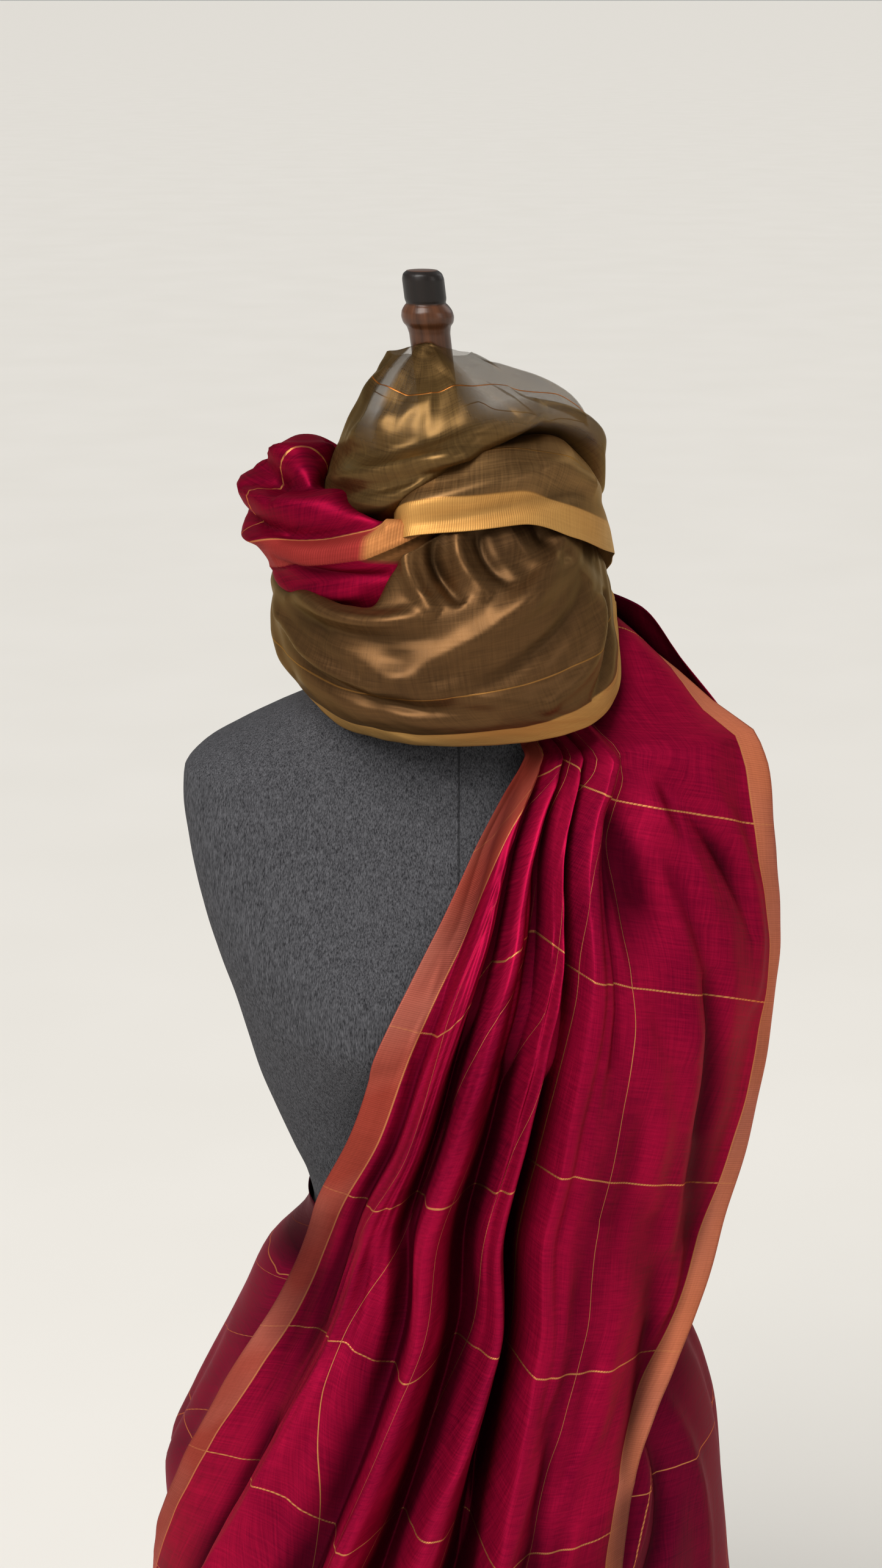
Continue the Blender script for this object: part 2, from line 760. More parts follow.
def drape_across(points, line, station):
    """How far across the saree each point lies: the fold table's value, but the true distance
    from the edge on each woven border."""
    at_stations = smooth_read(FOLD_SECTIONS, columns_of(FOLD_ACROSS).T, station)
    across = smooth_read(FOLD_LINES, at_stations.T, line).T
    from_upper = arc_length(points, axis=1)
    from_lower = from_upper[:, -1:] - from_upper
    upper_share = smooth((from_upper - BORDER_WIDTH) / UPPER_BORDER_EASE)
    lower_share = smooth((from_lower - BORDER_WIDTH) / LOWER_BORDER_EASE)
    across = mix(from_upper, np.maximum(across, BORDER_WIDTH), upper_share)
    inner = np.minimum(across, CLOTH_WIDTH - BORDER_WIDTH)
    return mix(CLOTH_WIDTH - from_lower, inner, lower_share)


def band(stations, steps, lean_from=None):
    """A wound stretch's points, turns, heights and radii: rows go along its turns and columns
    across it from its first edge.

    Each edge's height and radius follow a cubic from turn to turn, and so does the cloth from
    edge to edge. Where an edge is named to lean from, the axis moves over from the form's
    there to the leaning post's at the last edge."""
    turn = steps_between(stations["turn"], steps[0])
    edges = {name: pair for name, pair in stations.items() if name != "turn"}
    number = np.arange(len(edges))
    place = steps_between(number, steps[1])

    def spread(at_edges):
        at_turns = smooth_read(stations["turn"], np.stack(at_edges, axis=1), turn)
        return smooth_read(number, at_turns.T, place).T

    height, radius = map(spread, zip(*edges.values()))
    above = np.zeros_like(height)
    if lean_from:
        first = list(edges).index(lean_from)
        above = (height - NECK_TOP_HEIGHT) * np.clip((place - first) / (place[-1] - first), 0, 1)
    turn = turn[:, None]
    lean = POST_LEAN_SIDEWAYS * above, POST_LEAN_FORWARD * above
    return round_point(turn, height, radius, *lean), turn, height, radius


def creased(stretch, creases, wrinkles, step=0, closed_round=False):
    """A wound stretch's points moved along their normals by its creases, wrinkles and step."""
    points, turn, height, radius = stretch
    relief = crease_relief(creases, turn, height, radius) + wrinkles + step
    return points + relief[..., None] * surface_normals(points, closed_round)


def loop_sheet():
    """The loop that hangs behind the shoulder; the saree runs down it, its border to the front."""
    stretch = band(LOOP_STATIONS, LOOP_STEPS)
    run = LOOP_RUN_START + arc_length(stretch[0][:, ::-1], axis=1)[:, ::-1]
    across = CLOTH_WIDTH - arc_length(stretch[0], axis=0)
    wrinkles = wrinkle_relief(across, run, seed=5, height=0.8)
    return creased(stretch, LOOP_CREASES, wrinkles), run, across


def wrap_sheet():
    """The crimson stretch round the neck, with its woven edge lying over the cloth below it.

    The edge's line climbs from the left to the front. The across counts from it: above it
    comes the border, and below it, where it is less than 0, plain cloth lies a step lower.
    The run is the turn at a mean radius, drawn back above and below the border."""
    stretch = points, turn, height, _ = band(WRAP_STATIONS, WRAP_STEPS)
    across = (height - np.interp(turn, *EDGE_LINE.values())) * EDGE_LEAN
    run = np.radians(turn - turn[0]) * WRAP_MEAN_RADIUS
    beyond = np.maximum(across - BORDER_WIDTH + TURN_SLANT_STARTS_INSIDE, -across)
    run = run - TURN_SLANT * np.clip(beyond, 0, TURN_SLANT_REACH)
    wrinkles = wrinkle_relief(run, arc_length(points, axis=1), seed=7, height=1.4, length=40)
    step = EDGE_STEP * smooth(across / EDGE_STEP_WIDTH + 1)
    return creased(stretch, WRAP_CREASES, wrinkles, step), run, across


def pallu_sheet(stations, steps, creases, seed, rise, length):
    """A stretch of the tissue end, its woven border along its first edge."""
    stretch = band(stations, steps)
    run, across = (arc_length(stretch[0], axis=side) for side in (0, 1))
    wrinkles = wrinkle_relief(run, across, seed, rise, length)
    return creased(stretch, creases, wrinkles), run, across


def crown_sheet():
    """The sheer tissue drawn up round the post, its lower rim rolled in under it."""
    tuck = CROWN_STATIONS["low"] - np.array([[CROWN_TUCK_DROP], [CROWN_TUCK_IN]])
    stations = {"tuck": tuck} | CROWN_STATIONS
    stretch = points, turn, height, _ = band(stations, CROWN_STEPS, lean_from="low")
    run = np.radians(turn + 180) * CROWN_MEAN_RADIUS + 0 * height
    from_rim = arc_length(points, axis=1)
    middle_column = 2 * CROWN_STEPS[1]
    across = CROWN_MIDDLE_ACROSS + from_rim - from_rim[:, middle_column, None]
    wrinkles = wrinkle_relief(run, across, seed=17, height=1, length=42)
    return creased(stretch, CROWN_CREASES, wrinkles, closed_round=True), run, across


# Creases placed by hand: each goes from a, by way of b, to c.
DRAPE_CREASES = table(CREASE_NAMES + """
52 1392 62 1330 66 1262 9 8
60 1388 74 1320 76 1240 8 -8
44 1360 56 1280 58 1190 10 -6
70 1370 80 1290 78 1180 9 6
40 1230 52 1150 50 1050 12 5
64 1230 70 1130 62 1010 12 -8
56 1210 60 1100 54 960 12 6
36 1060 40 980 30 880 10 6
54 1020 52 940 40 850 11 -6
20 960 22 860 10 760 9 -6
-30 1030 -38 940 -52 840 8 6
-44 900 -52 820 -62 720 9 -7
-26 1060 -34 960 -48 860 6 -5
-16 1120 -22 1040 -32 940 6 -4
-4 1180 -10 1090 -20 990 5 3
""")
# Long fine folds of the second turn, from a line and station to another, widths in lines.
LONG_FOLDS = table("""
line_a station_a line_b station_b width depth
0.6 3 0.9 9 0.14 3
1.5 1.5 1.3 7 0.16 4
1.8 2 2.5 10 0.13 -4
2.4 1 2.7 8 0.12 4
3.3 1.2 3.5 9 0.12 -4.5
3.7 2 3.4 10 0.14 4
4.4 1 4.6 8 0.12 -4.5
4.7 3 4.3 11 0.14 3.5
5.4 1 5.6 7 0.11 4.5
5.8 2 5.5 10 0.12 -4
6.3 1 6.4 9 0.11 -4.5
6.6 2 6.3 11 0.12 4
7.5 1 7.5 7 0.12 3
8.4 1 8.3 8 0.1 -3.5
8.8 0.8 8.6 4 0.11 -5
9.4 0.8 9.7 4 0.13 5
9.7 1 10.2 5 0.12 -5
10.2 2 10.4 8 0.12 3
9.3 4 9.2 9 0.14 -3
""")
SKIRT_CREASES = table(CREASE_NAMES + """
44 912 60 820 34 728 11 12
50 896 70 800 40 700 8 -9
60 900 74 780 66 640 9 6
84 920 92 760 88 560 11 -7
290 900 284 780 292 620 10 7
306 890 300 780 304 660 9 -7
270 900 268 740 272 540 11 -6
200 930 204 760 198 560 12 6
160 930 156 760 162 560 12 -6
""")
LOOP_CREASES = table(CREASE_NAMES + """
98 1400 96 1310 95 1200 9 5
110 1450 112 1330 110 1180 10 8
126 1440 130 1340 126 1200 9 7
142 1430 150 1360 146 1240 9 6
""")
WRAP_CREASES = table(CREASE_NAMES + """
262 1552 290 1528 336 1556 6 -13
258 1568 288 1548 322 1566 6 9
264 1584 286 1566 306 1574 5 -11
270 1538 284 1528 300 1540 4 7
276 1560 286 1578 296 1556 4 -7
268 1574 276 1590 292 1588 5 6
284 1510 300 1500 330 1508 5 6
296 1522 316 1514 340 1524 4 -6
200 1500 230 1520 256 1540 8 -8
180 1480 215 1500 250 1514 8 8
130 1450 170 1470 210 1486 8 -8
150 1500 190 1520 232 1552 7 7
""")
COWL_CREASES = table(CREASE_NAMES + """
-74 1488 -44 1452 -2 1446 7 9
-66 1476 -36 1438 10 1436 7 -8
-40 1478 -10 1456 26 1438 8 6
36 1534 14 1498 -24 1452 9 7
44 1516 26 1476 -8 1440 7 -6
52 1500 44 1460 20 1440 8 7
62 1500 56 1462 40 1434 6 -6
-13 1552 -19 1530 -6 1503 5 8
-7 1552 -11 1532 1 1510 4.5 -8
0 1556 -4 1534 8 1514 5.5 8
7 1556 4 1536 15 1520 4.5 -6
15 1566 14 1546 26 1526 6 4
26 1564 27 1546 36 1528 6 -4
38 1546 30 1526 8 1500 6 5
-62 1508 -34 1486 -10 1502 4.5 5
-60 1494 -34 1474 -6 1490 5 -4
-100 1490 -86 1462 -62 1440 7 6
-130 1486 -112 1464 -88 1448 7 -6
""")
UPPER_CREASES = table(CREASE_NAMES + """
-26 1562 10 1588 56 1592 7 5
-18 1556 16 1572 60 1572 6 -4
30 1592 60 1572 96 1544 7 5
60 1570 90 1545 130 1520 8 -6
110 1550 140 1520 180 1500 8 6
""")
CROWN_CREASES = table(CREASE_NAMES + """
-70 1572 -14 1588 40 1626 5 8
-70 1588 -24 1598 24 1634 5 -5
-56 1566 -26 1574 0 1600 4 -4
-64 1600 -30 1618 6 1640 7 4
-78 1596 -68 1624 -56 1650 5 2
-62 1592 -54 1620 -46 1654 6 -2
-48 1598 -42 1624 -36 1656 6 2
-30 1610 -26 1632 -20 1658 5 -2.5
-14 1606 -8 1630 -10 1658 6 2.5
24 1626 64 1632 94 1574 5 7
40 1634 62 1632 86 1596 5 -5
56 1648 76 1640 94 1606 5 5
-110 1610 -90 1626 -60 1652 6 -5
120 1560 130 1600 140 1640 8 -7
170 1560 165 1600 168 1640 8 7
-150 1560 -146 1600 -130 1640 8 6
""")

# ---------- meshes ----------


def placed(name, data):
    """A new object of the data, in the scene."""
    made = bpy.data.objects.new(name, data)
    bpy.context.scene.collection.objects.link(made)
    return made


def grid_mesh(name, points, run=None, across=None, closed_round=False, capped=False):
    """A mesh of quads over a grid of points in millimetres, its cloth coordinates as a UV map.

    Each vertex of cloth also keeps how deep in a fold it lies, as the attribute "hollow".
    closed_round drops the last column, which repeats the first; capped closes the first and
    last rows with flat faces. The quads are turned so that they face away from the axis."""
    rows, columns = points.shape[:2]
    index = np.arange(rows * columns).reshape(rows, columns)
    vertex = index.copy()
    if closed_round:
        vertex = np.arange(rows * (columns - 1)).reshape(rows, columns - 1)
        vertex = np.concatenate([vertex, vertex[:, :1]], axis=1)
        points = points[:, :-1]

    def corners(numbers):
        a, b, c, d = numbers[:-1, :-1], numbers[:-1, 1:], numbers[1:, 1:], numbers[1:, :-1]
        return np.stack([a, b, c, d], axis=-1).reshape(-1, 4)

    quads, cloth_at = corners(vertex), corners(index)
    flat = points.reshape(-1, 3)
    middle = flat[quads].mean(axis=1)
    normal = np.cross(flat[quads[:, 2]] - flat[quads[:, 0]], flat[quads[:, 3]] - flat[quads[:, 1]])
    if np.sum(normal[:, :2] * middle[:, :2]) < 0:
        quads, cloth_at = quads[:, ::-1], cloth_at[:, ::-1]
    faces = quads.tolist()
    if capped:
        first, last = vertex[0, :-1], vertex[-1, :-1]
        upwards = flat[vertex[-1, 0], 2] > flat[vertex[0, 0], 2]
        faces += [first[::-1].tolist() if upwards else first.tolist()]
        faces += [last.tolist() if upwards else last[::-1].tolist()]
    mesh = bpy.data.meshes.new(name)
    mesh.from_pydata((flat * MM).tolist(), [], faces)
    if run is not None:
        hollow = mesh.attributes.new("hollow", "FLOAT", "POINT")
        hollow.data.foreach_set("value", hollow_share(points).ravel())
        cloth = np.stack([run, across], axis=-1).reshape(-1, 2) * MM
        layer = mesh.uv_layers.new(name="cloth")
        corners_of_caps = len(mesh.loops) - cloth_at.size
        caps = np.zeros((corners_of_caps, 2))
        layer.data.foreach_set("uv", np.concatenate([cloth[cloth_at.ravel()], caps]).ravel())
    mesh.polygons.foreach_set("use_smooth", np.ones(len(mesh.polygons), bool))
    mesh.update()
    return placed(name, mesh)


def dress(piece, material, node):
    """The piece in its material, riding on the part in place of its CAD node."""
    piece.data.materials.append(material)
    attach(piece, "root")
    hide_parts(node)
    return piece


def cloth_piece(name, sheet, material, thickness, node, closed_round=False):
    """A stretch of cloth as a thin shell, its thickness laid inwards."""
    piece = grid_mesh(name, *sheet, closed_round)
    shell = piece.modifiers.new("cloth thickness", "SOLIDIFY")
    shell.thickness = thickness * MM
    shell.offset = -1
    return dress(piece, material, node)


def hard_piece(name, grid, material, node):
    """A solid piece of the form or its post, closed at both ends."""
    piece = grid_mesh(name, *grid, closed_round=True, capped=True)
    return dress(piece, material, node)


def form_grid():
    """The form from its base to the neck's top, with rounded rims at both ends."""
    turn = np.linspace(0, 360, FORM_STEPS[0] + 1)[None, :]
    height = np.linspace(FORM_BOTTOM_HEIGHT, NECK_TOP_HEIGHT, FORM_STEPS[1] + 1)[:, None]
    from_end = np.minimum(height - FORM_BOTTOM_HEIGHT, NECK_TOP_HEIGHT - height)
    inside_rim = np.maximum(FORM_RIM - from_end, 0)
    rounding = FORM_RIM - np.sqrt(np.maximum(FORM_RIM**2 - inside_rim**2, 0))
    return (round_point(turn, height, form_radius(turn, height) - rounding),)


def post_grid():
    """The turned post: its profile at even steps of arc, with every arris eased, sheared over.

    Its grain's coordinates are a share of the turn, and the height."""
    profile = np.stack([POST_PROFILE["radius"], POST_PROFILE["height"]], axis=-1)
    length = arc_length(profile, axis=0)
    fine = np.linspace(0, length[-1], POST_STEPS[1] + 1)
    eased = np.stack([np.interp(fine, length, profile[:, side]) for side in (0, 1)], axis=-1)
    reach = POST_EASE_STEPS
    window = np.hanning(2 * reach + 3)[1:-1]
    padded = np.pad(eased, ((reach, reach), (0, 0)), mode="reflect", reflect_type="odd")
    radius, height = (
        np.convolve(padded[:, side], window / window.sum(), "valid")[:, None] for side in (0, 1)
    )
    turn = np.linspace(0, 360, POST_STEPS[0] + 1)[None, :]
    height = height + 0 * turn
    points = round_point(
        turn, height, radius, POST_LEAN_SIDEWAYS * height, POST_LEAN_FORWARD * height
    )
    points[..., 2] += NECK_TOP_HEIGHT + SEAT_GAP
    return points, (turn + 0 * height) * POST_GRAIN_SHARE, height


# ---------- finishes ----------


def operator(operation, reflected=False):
    """A method that adds one Math node; a reflected one takes the other number first."""

    def method(self, *others):
        numbers = (*others, self) if reflected else (self, *others)
        sockets = dict(enumerate(numbers))
        return self.finish.value("ShaderNodeMath", {"operation": operation}, sockets)

    return method


class Value:
    """A node's socket in Python arithmetic: each operator adds one Math node to its tree."""

    def __init__(self, finish, socket):
        self.finish = finish
        self.socket = socket

    __add__, __radd__ = operator("ADD"), operator("ADD", reflected=True)
    __sub__, __rsub__ = operator("SUBTRACT"), operator("SUBTRACT", reflected=True)
    __mul__, __rmul__ = operator("MULTIPLY"), operator("MULTIPLY", reflected=True)
    __truediv__, __abs__ = operator("DIVIDE"), operator("ABSOLUTE")
    least, most, fraction = operator("MINIMUM"), operator("MAXIMUM"), operator("FRACT")

    def step_down(self, edge, softness):
        """1 below the edge and 0 above it, over a distance of twice the softness."""
        return ((edge - self) / (2 * softness) + 0.5).held()

    def held(self):
        """Held between 0 and 1."""
        return self.most(0).least(1)


class Finish:
    """One material: its nodes, its Principled shader and a short way to add to them."""

    def __init__(self, name, **constants):
        self.material = bpy.data.materials.new(name)
        self.material.use_nodes = True
        self.tree = self.material.node_tree
        self.shader = self.tree.nodes["Principled BSDF"]
        self.set(**constants)

    def set(self, **sockets):
        """Numbers, colours or values into the shader's sockets of those names."""
        for name, given in sockets.items():
            socket = name.replace("_", " ").title().replace("Ior", "IOR")
            self.feed(self.shader.inputs[socket], given)

    def node(self, kind, settings=None, sockets=None):
        """A node of a kind: its settings first, then the values or links of its sockets."""
        made = self.tree.nodes.new(kind)
        for key, setting in (settings or {}).items():
            setattr(made, key, setting)
        for key, given in (sockets or {}).items():
            self.feed(made.inputs[key], given)
        return made

    def value(self, kind, settings=None, sockets=None, output=0):
        """The same, as a value that takes part in arithmetic."""
        return Value(self, self.node(kind, settings, sockets).outputs[output])

    def feed(self, socket, given):
        if isinstance(given, Value):
            self.tree.links.new(given.socket, socket)
        else:
            socket.default_value = given

    def blend(self, share, start, end, how="MIX"):
        """A colour from start to end by a share, or the two in another way, such as multiplied."""
        settings = {"data_type": "RGBA", "blend_type": how}
        return self.value("ShaderNodeMix", settings, {"Factor": share, 6: start, 7: end}, output=2)

    def scaled(self, vector, by):
        """A vector with each part multiplied."""
        return self.value("ShaderNodeVectorMath", {"operation": "MULTIPLY"}, {0: vector, 1: by})

    def noise(self, vector, scale=1.0, detail=2.0, roughness=0.5):
        """Soft noise from 0 to 1 over a vector."""
        sockets = {"Vector": vector, "Scale": scale, "Detail": detail, "Roughness": roughness}
        return self.value("ShaderNodeTexNoise", None, sockets)

    def cloth(self):
        """The cloth's own coordinates in metres: the vector, the run and the across."""
        return self.split(self.value("ShaderNodeUVMap", {"uv_map": "cloth"}))

    def split(self, vector):
        """A vector, and its first and second parts."""
        parts = self.node("ShaderNodeSeparateXYZ", None, {0: vector})
        return vector, Value(self, parts.outputs[0]), Value(self, parts.outputs[1])

    def place(self):
        """Object coordinates, in metres."""
        return self.value("ShaderNodeTexCoord", output=3)

    def bump(self, height, distance, strength=1.0):
        """Relief from a height between 0 and 1, of a depth in metres, into the shader."""
        sockets = {"Height": height, "Distance": distance, "Strength": strength}
        self.set(normal=self.value("ShaderNodeBump", None, sockets))


def rgb(red, green, blue):
    """A colour given by its screen values from 0 to 255, as the linear colour of a shader."""
    screen = np.array([red, green, blue]) / 255
    linear = np.where(screen <= 0.04045, screen / 12.92, ((screen + 0.055) / 1.055) ** 2.4)
    return (*linear.tolist(), 1.0)


def near_multiple(value, pitch, half_width, softness):
    """1 on thin lines at every multiple of the pitch, fading to 0 beyond their half width."""
    away = abs((value / pitch + 0.5).fraction() - 0.5) * pitch
    return away.step_down(half_width, softness)


PLAIN_WHITE = (1.0, 1.0, 1.0, 1.0)
RIB_SHADE = (0.35, 0.3, 0.28, 1.0)
RIB_STRENGTH = 0.6

# How fine the weave's unevenness is, along the run and across.
WARP_SLUBS = (22, 620, 1)
WEFT_SLUBS = (620, 22, 1)
CLOUDS = (7, 9, 1)
PATCHES = (6, 9, 1)
PATCH_FROM = 0.44
PATCH_GAIN = 4
PATCH_STRENGTH = 0.8
CLOUD_GAIN = 1.1
LINE_BETWEEN_TWISTS = 0.35
LINE_LOST_IN_BORDER = 0.75
HOLLOW_STRENGTH = 0.8

# The weave, in metres.
BORDER_EDGE = 0.0003
BORDER_LINE_HALF = 0.0006
WARP_LINE_HALF = 0.00045
WEFT_LINE_HALF = 0.00065
LINE_SOFTNESS = 0.0002
TWIST_PITCH = 0.0042
TWIST_SOFTNESS = 0.0005
RIB_PITCH = 0.0016
RIB_SOFTNESS = 0.0003
FAR_BORDER_CHANGE = 0.1
RELIEF_DEPTH = 0.00035

# Where the crown's tissue is a single sheer layer, in metres of its run and across.
THIN_FROM = 0.142
THIN_CHANGE = 0.03
THIN_COVER = 0.3
THIN_RIGHT_FROM = 0.285
THIN_BEHIND_FROM = 0.43
THIN_BEHIND_UNTIL = 0.08
THIN_BEHIND_LOWER = 0.05
THIN_LEFT_PATCH = 0.204
THIN_LEFT_HALF = 0.009
THIN_ELSEWHERE = 0.25
THIN_UNEVEN = 0.2


def sheer_cover(finish, run, across, threads):
    """How much of what is behind it a sheer tissue covers: all of it below, and less towards the
    post, mostly at the right, behind, and in a narrow patch at the left."""
    to_the_right = 1 - run.step_down(THIN_RIGHT_FROM, 0.012)
    behind = run.step_down(THIN_BEHIND_UNTIL, THIN_CHANGE)
    behind = behind.most(1 - run.step_down(THIN_BEHIND_FROM, THIN_CHANGE))
    patch = abs(run - THIN_LEFT_PATCH).step_down(THIN_LEFT_HALF, THIN_LEFT_HALF / 3)
    thinning = 1 - (across + behind * THIN_BEHIND_LOWER).step_down(THIN_FROM, THIN_CHANGE / 2)
    thinning = thinning * mix(THIN_ELSEWHERE, 1, to_the_right.most(patch).most(behind))
    return 1 - thinning * (1 - THIN_COVER) + (threads - 0.5) * THIN_UNEVEN * thinning


def woven_finish(
    name, ground, shade, deep, border, far_border, gleam, thread, metal, roughness, slub=2.2,
    lines=(BORDER_WIDTH, WARP_SQUARE, WEFT_SQUARE), sheer=False, turns_at=None, **constants
):
    """Chanderi: fine slubbed threads both ways, gold check lines, and a ribbed border each side.

    Colours are screen values. turns_at gives the run over which another ground and border
    begin, and those two."""
    ground, shade, deep, border, far_border, gleam, thread = (
        rgb(*colour) for colour in (ground, shade, deep, border, far_border, gleam, thread)
    )
    finish = Finish(name, **constants)
    vector, run, across = finish.cloth()
    edge = across.least(CLOTH_WIDTH * MM - across)
    in_border = edge.step_down(BORDER_WIDTH * MM, BORDER_EDGE)
    in_border = in_border * (1 - across.step_down(0, BORDER_EDGE))
    border_line = abs(edge - BORDER_WIDTH * MM).step_down(BORDER_LINE_HALF, BORDER_EDGE)

    warp_slub = finish.noise(finish.scaled(vector, WARP_SLUBS), detail=4, roughness=0.7)
    weft_slub = finish.noise(finish.scaled(vector, WEFT_SLUBS), detail=4, roughness=0.7)
    cloudy = finish.noise(finish.scaled(vector, CLOUDS), detail=3)
    patches = finish.noise(finish.scaled(vector, PATCHES), detail=2)
    threads = (warp_slub + weft_slub) * 0.5

    first_warp, warp_pitch, weft_pitch = lines
    warp_line = near_multiple(
        across - first_warp * MM, warp_pitch * MM, WARP_LINE_HALF, LINE_SOFTNESS
    )
    twist = near_multiple(across + run, TWIST_PITCH, TWIST_PITCH / 3, TWIST_SOFTNESS)
    weft_line = near_multiple(run, weft_pitch * MM, WEFT_LINE_HALF, LINE_SOFTNESS)
    weft_line = weft_line * mix(LINE_BETWEEN_TWISTS, 1, twist)
    line = warp_line.most(weft_line) * (1 - in_border * LINE_LOST_IN_BORDER)

    cloth_share = ((threads - 0.5) * slub + (cloudy - 0.5) * CLOUD_GAIN + 0.5).held()
    ground = finish.blend(cloth_share, shade, ground)
    if turns_at is not None:
        turn_from, turn_to, ground_after, border_after = turns_at
        gone = 1 - run.step_down((turn_from + turn_to) / 2, (turn_to - turn_from) / 2)
        ground = finish.blend(gone, ground, rgb(*ground_after))
        border = finish.blend(gone, border, rgb(*border_after))
    rib = near_multiple(run, RIB_PITCH, RIB_PITCH / 4, RIB_SOFTNESS)
    uneven = (threads - 0.5) * 1.4 + (cloudy - 0.5) * 1.8
    rib_share = (rib * 0.35 + uneven + 0.35).held()
    far = 1 - across.step_down(CLOTH_WIDTH * MM / 2, FAR_BORDER_CHANGE)
    border = finish.blend(far, border, far_border)
    gleaming = ((patches - PATCH_FROM) * PATCH_GAIN).held() * PATCH_STRENGTH
    border = finish.blend(gleaming, border, gleam)
    ribbed = finish.blend(rib_share * RIB_STRENGTH, PLAIN_WHITE, RIB_SHADE)
    border = finish.blend(1.0, border, ribbed, how="MULTIPLY")
    colour = finish.blend(in_border, ground, border)
    colour = finish.blend(line.most(border_line * 0.5), colour, thread)
    hollow = finish.value("ShaderNodeAttribute", {"attribute_name": "hollow"}, output=2)
    finish.set(
        base_color=finish.blend(hollow * HOLLOW_STRENGTH, colour, deep),
        metallic=(metal + line * 0.3) * (1 - in_border * 0.35),
        roughness=roughness + (threads - 0.5) * 0.5 + in_border * 0.12,
    )
    if sheer:
        cover = sheer_cover(finish, run, across, threads)
        finish.set(alpha=(cover + line * 0.5 + in_border).held())
    finish.bump(threads * 0.6 + line * 0.8 + rib * in_border * 0.5, RELIEF_DEPTH, 0.5)
    return finish.material


SILK_GLOW = {"specular_ior_level": 0.15, "specular_tint": (0.8, 0.14, 0.24, 1.0)}


def crimson_silk():
    """Crimson silk and cotton with a satin glow, and a salmon border."""
    return woven_finish(
        "crimson silk", ground=(172, 16, 58), shade=(98, 4, 36), deep=(28, 0, 10),
        border=(158, 66, 52), far_border=(206, 120, 84), gleam=(190, 118, 100),
        thread=(214, 146, 88), metal=0.66, roughness=0.5, **SILK_GLOW,
    )


def single_silk():
    """The same silk where it hangs in one layer over the dark underneath: deeper and duller."""
    return woven_finish(
        "single layer of crimson silk", ground=(132, 10, 48), shade=(76, 4, 32), deep=(22, 0, 8),
        border=(158, 66, 52), far_border=(158, 66, 52), gleam=(184, 110, 92),
        thread=(196, 128, 78), metal=0.55, roughness=0.48, **SILK_GLOW,
    )


def turning_silk():
    """Crimson silk that turns to gold tissue along its run, its border from salmon to gold."""
    return woven_finish(
        "crimson silk turning gold", ground=(150, 10, 46), shade=(84, 2, 30), deep=(26, 0, 8),
        border=(150, 50, 46), far_border=(150, 50, 46), gleam=(176, 84, 74),
        thread=(214, 146, 88), metal=0.66, roughness=0.5,
        turns_at=(0.41, 0.416, (92, 60, 32), (186, 124, 72)), **SILK_GLOW,
    )


def gold_tissue(name, ground, thread=(150, 106, 56), roughness=0.44, sheer=False):
    """Antique gold tissue: silk warp with a metal weft, and a brighter gold border."""
    return woven_finish(
        name, ground, shade=(56, 38, 24), deep=(30, 19, 10), border=(202, 150, 82),
        far_border=(202, 150, 82), gleam=(216, 176, 106), thread=thread, metal=0.78,
        roughness=roughness, slub=1.3, lines=(55, 120, 1000), sheer=sheer,
        specular_ior_level=0.3, specular_tint=(1.0, 0.82, 0.5, 1.0),
    )


def grey_marl():
    """The form's jersey: dark grey yarn flecked with lighter fibres, and a seam down the middle."""
    finish = Finish("grey marl", roughness=0.95, specular_ior_level=0.2)
    place, sideways, _ = finish.split(finish.place())
    fleck = finish.noise(finish.scaled(place, (1300, 1300, 240)), detail=3, roughness=0.6)
    yarn = finish.noise(finish.scaled(place, (420, 420, 70)), detail=2)
    seam = abs(sideways).step_down(0.0007, 0.0005)
    share = ((fleck - 0.5) * 2.2 + (yarn - 0.5) * 0.6 + 0.4).held()
    colour = finish.blend(share, rgb(30, 30, 33), rgb(92, 92, 96))
    finish.set(base_color=finish.blend(seam * 0.7, colour, rgb(20, 20, 23)))
    finish.bump(fleck * 0.8 + yarn * 0.4 - seam, 0.0006, 0.6)
    return finish.material


def turned_wood():
    """Dark polished wood with fine grain up the post, and a near-black cap."""
    finish = Finish("turned wood", coat_weight=0.12, coat_roughness=0.2, specular_ior_level=0.3)
    vector, _, up = finish.cloth()
    grain = finish.noise(finish.scaled(vector, (220, 12, 1)), detail=4, roughness=0.6)
    rings = finish.noise(finish.scaled(vector, (30, 5, 1)), detail=2)
    streak = ((grain - 0.5) * 1.8 + (rings - 0.5) * 1.2 + 0.5).held()
    cap = 1 - up.step_down(POST_CAP_FROM * MM, 0.001)
    colour = finish.blend(streak, rgb(34, 18, 11), rgb(100, 60, 36))
    finish.set(
        base_color=finish.blend(cap * 0.95, colour, rgb(13, 10, 9)),
        roughness=0.34 + (grain - 0.5) * 0.3 + cap * 0.1,
    )
    finish.bump(grain, 0.0004, 0.5)
    return finish.material


def stand_metal():
    """Black powder-coated steel with a fine orange-peel surface."""
    finish = Finish("stand metal", metallic=0.4)
    peel = finish.noise(finish.place(), scale=700, detail=2)
    wear = finish.noise(finish.place(), scale=14, detail=3)
    finish.set(
        base_color=finish.blend(wear, rgb(24, 24, 26), rgb(40, 40, 43)),
        roughness=0.42 + (wear - 0.5) * 0.2,
    )
    finish.bump(peel, 0.0002, 0.6)
    return finish.material


def pale_floor():
    """A plain warm-white floor."""
    finish = Finish("pale floor", roughness=0.9)
    mottle = finish.noise(finish.place(), scale=2.0, detail=2)
    finish.set(base_color=finish.blend(mottle, rgb(226, 223, 217), rgb(232, 229, 224)))
    return finish.material


# ---------- the object ----------

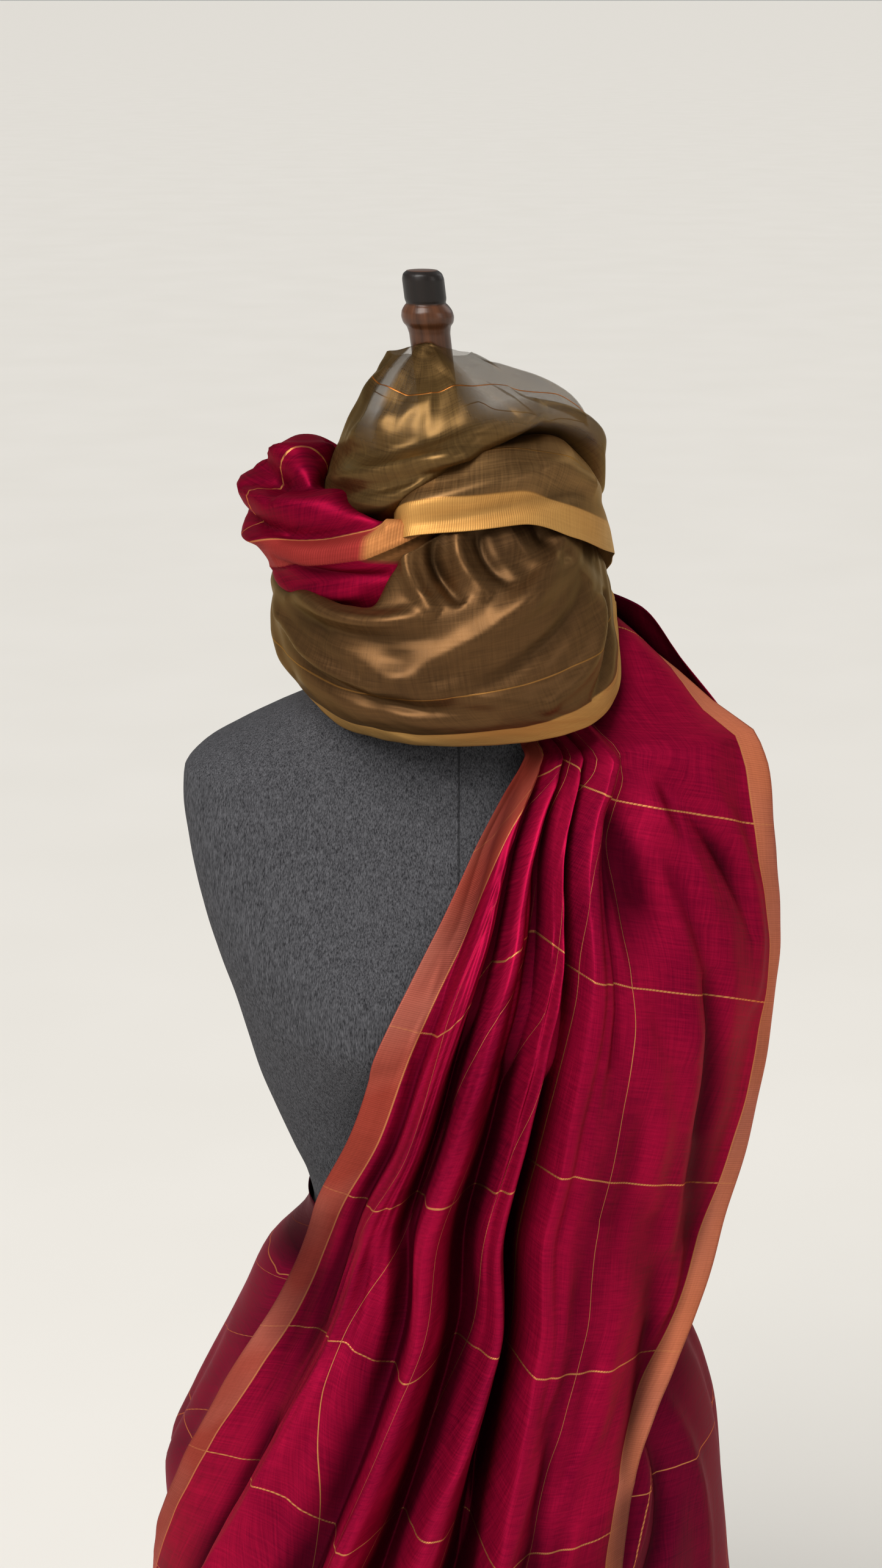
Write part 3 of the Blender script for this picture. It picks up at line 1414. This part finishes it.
silk = crimson_silk()
tissue = gold_tissue("gold tissue", (114, 81, 49))
dome_tissue = gold_tissue("gold tissue in the light", (156, 117, 73))
sheer_tissue = gold_tissue("sheer gold tissue", (130, 100, 58), (182, 108, 48), 0.4, sheer=True)
black_metal = stand_metal()

hard_piece("dress_form", form_grid(), grey_marl(), "form_torso")
hard_piece("turned_neck_post", post_grid(), turned_wood(), "neck_post")
for stand_name in ("stand_pole", "stand_base"):
    stand_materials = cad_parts[stand_name].data.materials
    stand_materials.clear()
    stand_materials.append(black_metal)

first_wrap = cloth_piece(
    "saree_first_wrap", skirt_sheet(), single_silk(), SILK_THICKNESS, "skirt_wrap",
    closed_round=True,
)
drape = cloth_piece(
    "saree_second_wrap_and_swath", drape_sheet(), silk, SILK_THICKNESS, "body_drape"
)
loop = cloth_piece(
    "saree_shoulder_loop", loop_sheet(), silk, SILK_THICKNESS, "shoulder_fall"
)
neck_wrap = cloth_piece(
    "saree_neck_wrap", wrap_sheet(), turning_silk(), SILK_THICKNESS, "neck_wrap"
)
cowl_sheet = pallu_sheet(COWL_STATIONS, COWL_STEPS, COWL_CREASES, seed=11, rise=1.5, length=42)
cowl = cloth_piece(
    "pallu_front_cowl", cowl_sheet, tissue, TISSUE_THICKNESS, "pallu_cowl"
)
upper_sheet = pallu_sheet(UPPER_STATIONS, UPPER_STEPS, UPPER_CREASES, seed=13, rise=1, length=48)
upper = cloth_piece(
    "pallu_over_right", upper_sheet, dome_tissue, TISSUE_THICKNESS, "pallu_upper"
)
crown = cloth_piece(
    "pallu_sheer_crown", crown_sheet(), sheer_tissue, TISSUE_THICKNESS, "pallu_crown"
)

# ---------- floor, camera and light ----------


def lay_floor(size):
    """A wide square floor at the height on which the stand rests."""
    far = size / 2
    mesh = bpy.data.meshes.new("floor")
    corners = [(-far, -far, 0), (far, -far, 0), (far, far, 0), (-far, far, 0)]
    mesh.from_pydata(corners, [], [(0, 1, 2, 3)])
    mesh.materials.append(pale_floor())
    placed("floor", mesh)


def set_camera(place, tilt_down, half_view, clip_end=30000):
    """A camera at a place, looking along +Y and tilted down; half_view is half its tall angle."""
    data = bpy.data.cameras.new("camera")
    data.sensor_width = 36
    data.clip_end = clip_end
    data.lens = data.sensor_width / 2 / math.tan(math.radians(half_view))
    camera = placed("camera", data)
    camera.location = place
    camera.rotation_euler = (math.radians(90 - tilt_down), 0, 0)
    bpy.context.scene.camera = camera


def add_light(name, kind, energy, colour):
    """A light of a kind in the scene."""
    data = bpy.data.lights.new(name, kind)
    data.energy = energy
    data.color = colour
    return placed(name, data)


def soft_light(name, place, aim, size, power, colour=PLAIN_WHITE[:3]):
    """A square area light of a size in metres, turned to face a point."""
    light = add_light(name, "AREA", power, colour)
    light.data.size = size
    light.location = place
    light.rotation_euler = (Vector(aim) - Vector(place)).to_track_quat("-Z", "Y").to_euler()


def wide_light(name, tilt, turn, softness, strength, colour):
    """Soft even daylight from a tilt off the vertical, turned to the left where turn is below 0."""
    light = add_light(name, "SUN", strength, colour)
    light.data.angle = math.radians(softness)
    light.rotation_euler = (math.radians(tilt), 0, math.radians(turn))


def set_world(colour, strength):
    """An even pale surround."""
    world = bpy.data.worlds.new("soft surround")
    world.use_nodes = True
    background = world.node_tree.nodes["Background"]
    background.inputs["Color"].default_value = colour
    background.inputs["Strength"].default_value = strength
    bpy.context.scene.world = world


lay_floor(size=20000)
set_camera((-0.0125, -1.6729, 1.8836), tilt_down=18, half_view=18)
set_world(rgb(222, 222, 220), strength=0.42)
wide_light("daylight", tilt=42, turn=-28, softness=34, strength=2.9, colour=(1.0, 0.985, 0.96))
warm_white = (1.0, 0.98, 0.95)
soft_light("key", (-1.5, -2.0, 2.9), aim=(0, 0, 1.2), size=1.0, power=24, colour=warm_white)
soft_light("rim", (1.6, 1.4, 2.6), aim=(0, 0, 1.3), size=1.2, power=5)
soft_light("right side", (2.0, -1.3, 2.3), aim=(0, 0, 1.45), size=0.9, power=6, colour=warm_white)
bpy.context.scene.view_settings.view_transform = "Standard"
